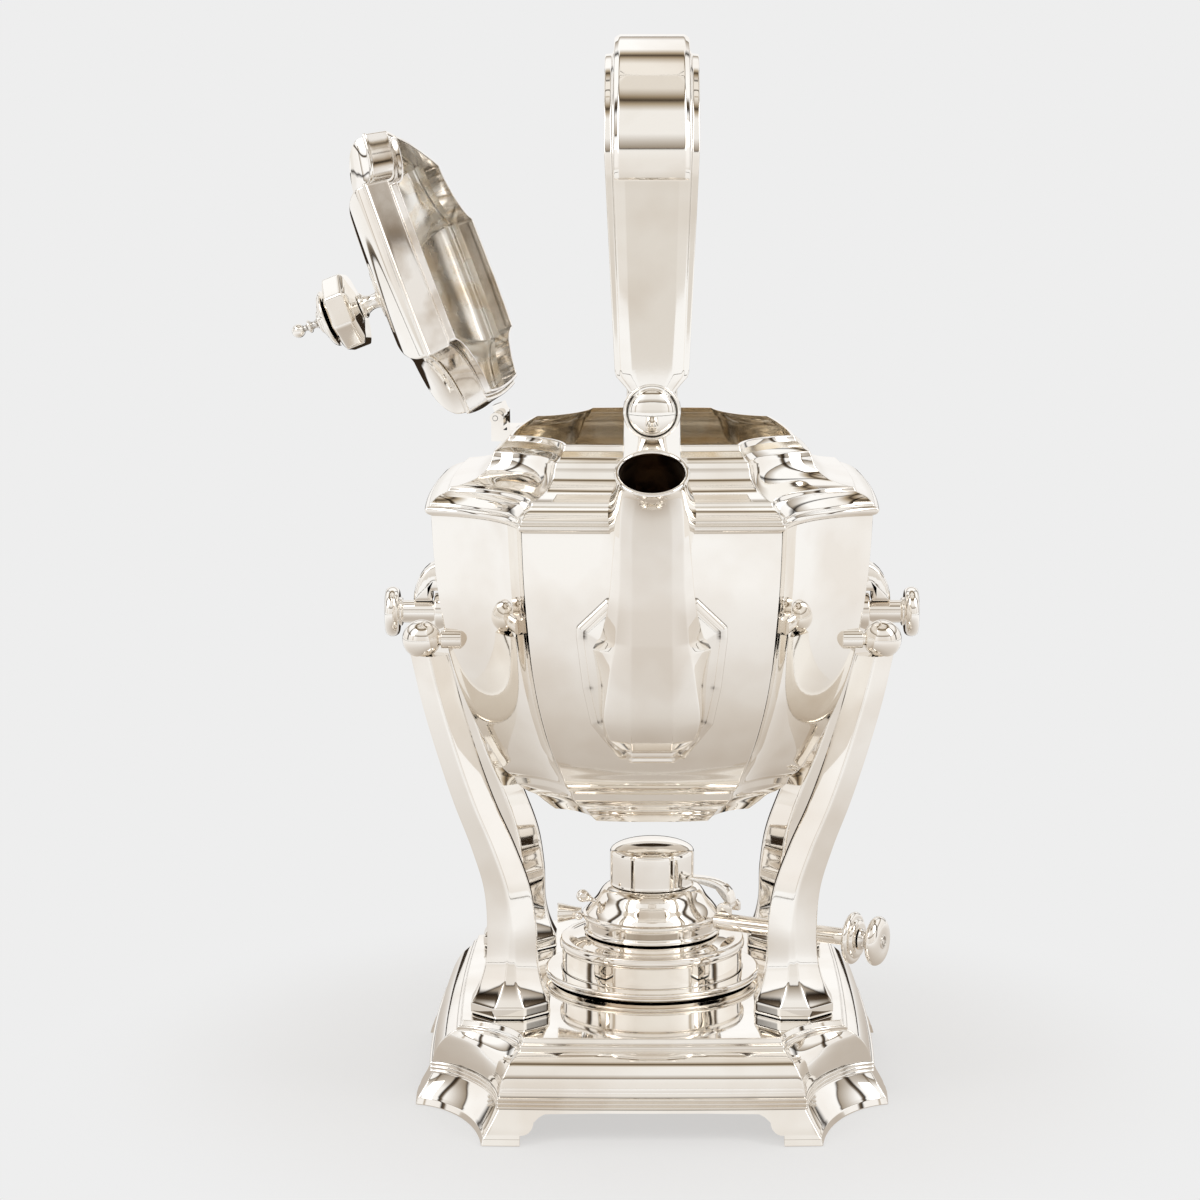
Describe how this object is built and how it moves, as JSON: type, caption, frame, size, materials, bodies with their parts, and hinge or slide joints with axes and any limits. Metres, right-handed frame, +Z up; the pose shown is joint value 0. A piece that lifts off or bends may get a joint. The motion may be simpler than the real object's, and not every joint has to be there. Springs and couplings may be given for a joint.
{
  "type": "spirit kettle on stand",
  "caption": "Faceted silver tea kettle with hinged lid, spout and bail handle, tilting on a four-legged stand over a spirit lamp.",
  "frame": {"origin": "middle of the part's box in plan, at the underside of the stand's feet", "axes": "+Z up, -Y along the spout, +X to the right seen from the spout's side"},
  "size_m": [0.1944, 0.193, 0.3169],
  "materials": {
    "polished_silver": "mirror-polished silver, slightly warm",
    "lamp_brass": "plain turned brass",
    "cotton_wick": "woven cotton"
  },
  "bodies": {
    "stand": {"stand_base": "polished_silver", "leg_front_left": "polished_silver", "leg_front_right": "polished_silver", "leg_rear_left": "polished_silver", "leg_rear_right": "polished_silver", "leg_bolt_front_left": "polished_silver", "leg_bolt_front_right": "polished_silver", "leg_bolt_rear_left": "polished_silver", "leg_bolt_rear_right": "polished_silver", "lamp_tray": "polished_silver", "lamp_reservoir": "polished_silver", "burner_collar": "polished_silver", "wick_tube": "lamp_brass", "filler_tube": "polished_silver", "filler_plug": "polished_silver", "collar_stud": "polished_silver", "regulator_tube": "polished_silver", "regulator_disc": "polished_silver", "lever_bracket": "polished_silver", "snuffer_pin": "polished_silver"},
    "kettle": {"kettle_body": "polished_silver", "spout": "polished_silver", "trunnion_left": "polished_silver", "trunnion_right": "polished_silver", "rest_lug_left": "polished_silver", "rest_lug_right": "polished_silver", "handle_post_front": "polished_silver", "handle_post_rear": "polished_silver", "pivot_bolt_front": "polished_silver", "pivot_bolt_rear": "polished_silver", "hinge_leaf_lower": "polished_silver", "hinge_pin": "polished_silver"},
    "lid": {"lid_dome": "polished_silver", "lid_bezel": "polished_silver", "lid_plate": "polished_silver", "knob_spool": "polished_silver", "knob_nut": "polished_silver", "knob_finial": "polished_silver", "knob_fixing_nut": "polished_silver", "hinge_leaf_upper": "polished_silver"},
    "handle": {"bail_handle": "polished_silver", "handle_grip": "polished_silver"},
    "snuffer": {"snuffer_cap": "polished_silver", "snuffer_lever": "polished_silver"},
    "wick_knob": {"regulator_knob": "polished_silver"},
    "wick": {"wick": "cotton_wick"},
    "lock_pin_left": {"lock_pin_left": "polished_silver"},
    "lock_pin_right": {"lock_pin_right": "polished_silver"}
  },
  "joints": [
    {"name": "kettle_tilt", "type": "hinge", "parent": "stand", "child": "kettle", "pos_m": [0.01271, -0.02122, 0.1412], "axis": [1, 0, 0], "range_deg": [0, 45]},
    {"name": "lid_hinge", "type": "hinge", "parent": "kettle", "child": "lid", "pos_m": [-0.03328, 0.01598, 0.2035], "axis": [0.1063, 0.9943, 0], "range_deg": [0, 111.5]},
    {"name": "handle_swing", "type": "hinge", "parent": "kettle", "child": "handle", "pos_m": [0.01271, 0.01598, 0.2113], "axis": [0, 1, 0], "range_deg": [0, 75]},
    {"name": "snuffer_lift", "type": "hinge", "parent": "stand", "child": "snuffer", "pos_m": [0.03626, 0.0045, 0.05355], "axis": [0.4384, 0.8988, 0], "range_deg": [0, 20]},
    {"name": "wick_knob_turn", "type": "hinge", "parent": "stand", "child": "wick_knob", "pos_m": [0.07581, -0.01479, 0.04815], "axis": [0.8988, -0.4384, 0], "range_deg": [0, 180]},
    {"name": "wick_rise", "type": "slide", "parent": "stand", "child": "wick", "axis": [0, 0, 1], "range_m": [0, 0.003]},
    {"name": "lock_pin_left_slide", "type": "slide", "parent": "stand", "child": "lock_pin_left", "axis": [-1, 0, 0], "range_m": [0, 0.016]},
    {"name": "lock_pin_right_slide", "type": "slide", "parent": "stand", "child": "lock_pin_right", "axis": [1, 0, 0], "range_m": [0, 0.016]}
  ]
}
